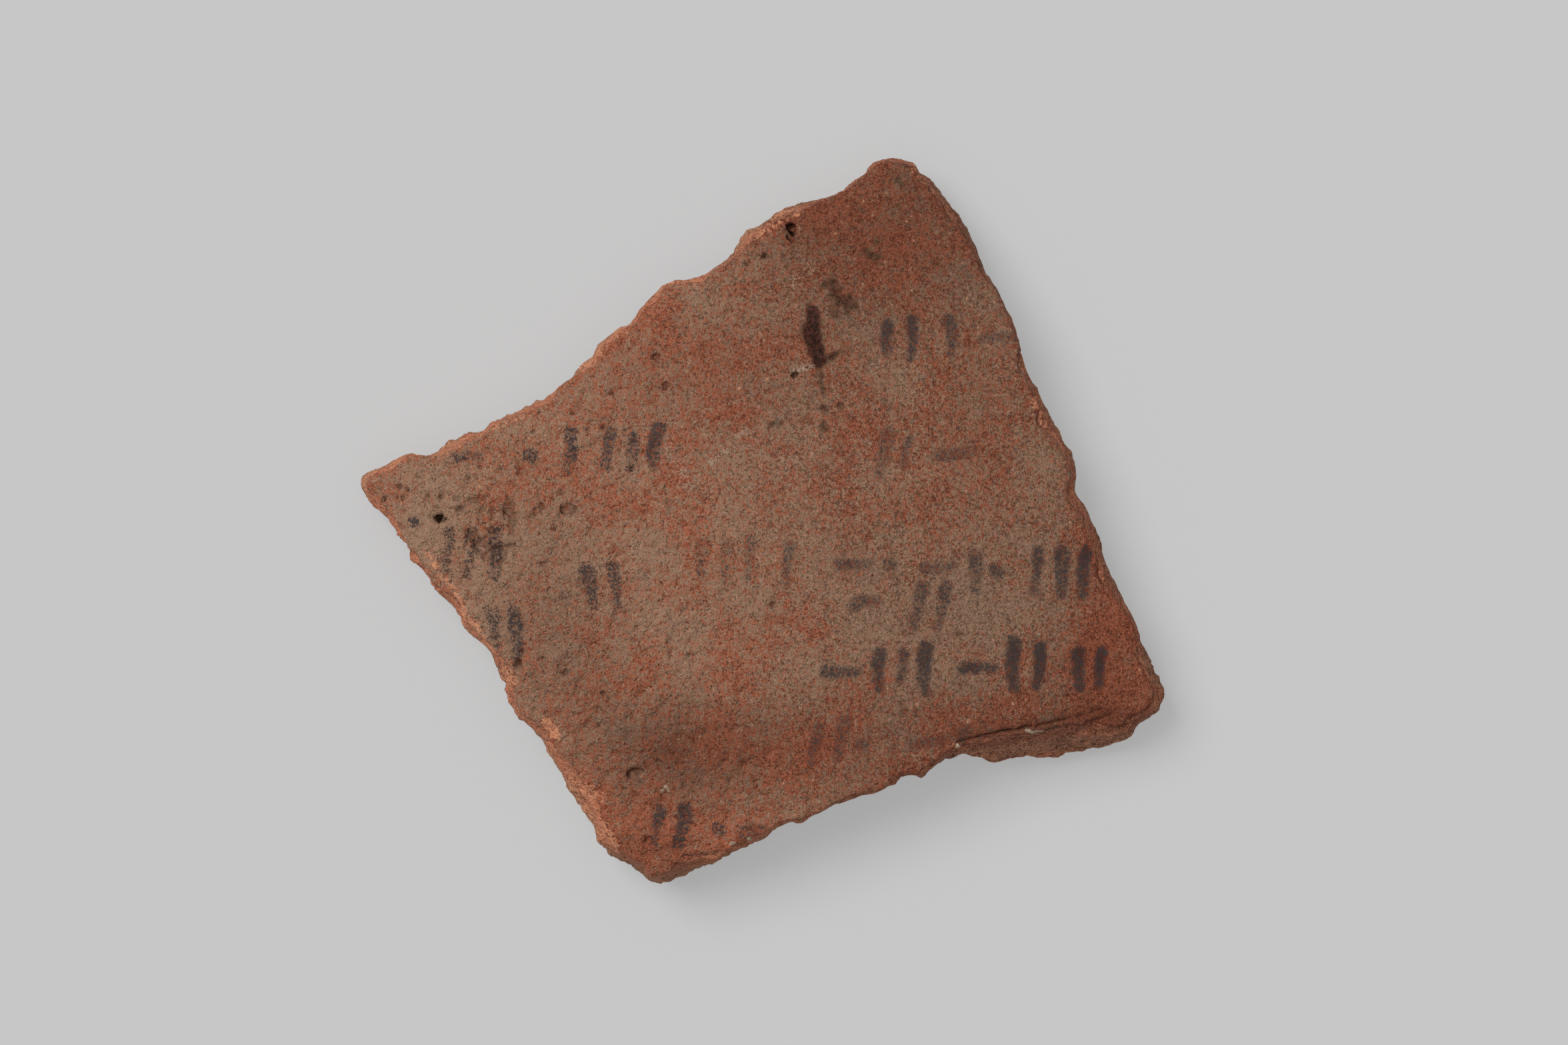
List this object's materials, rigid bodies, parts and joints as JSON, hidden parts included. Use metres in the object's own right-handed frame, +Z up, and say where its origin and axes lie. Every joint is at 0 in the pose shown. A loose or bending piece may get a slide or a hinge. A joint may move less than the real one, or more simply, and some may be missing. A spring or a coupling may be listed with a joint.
{
  "type": "ostracon",
  "caption": "Irregular, roughly four-sided potsherd from the curved wall of a wheel-thrown jar, with faded dark marks on its outer face and throwing grooves inside.",
  "frame": {"origin": "middle of the sherd's box in plan, at the level that it stands on", "axes": "+Z up through the written outer face, +X along the sherd's longest side to side extent, +Y towards the upper corner, which is also the direction of the axis of the wheel that the jar was thrown on"},
  "size_m": [0.082, 0.0738, 0.0139],
  "materials": {
    "fired_clay": "matt red-brown fired silt clay with a worn grey-buff wash on the outer face, granular blue-black ink traces, and a grey-brown core in the breaks"
  },
  "bodies": {
    "root": {"sherd": "fired_clay"}
  },
  "joints": []
}
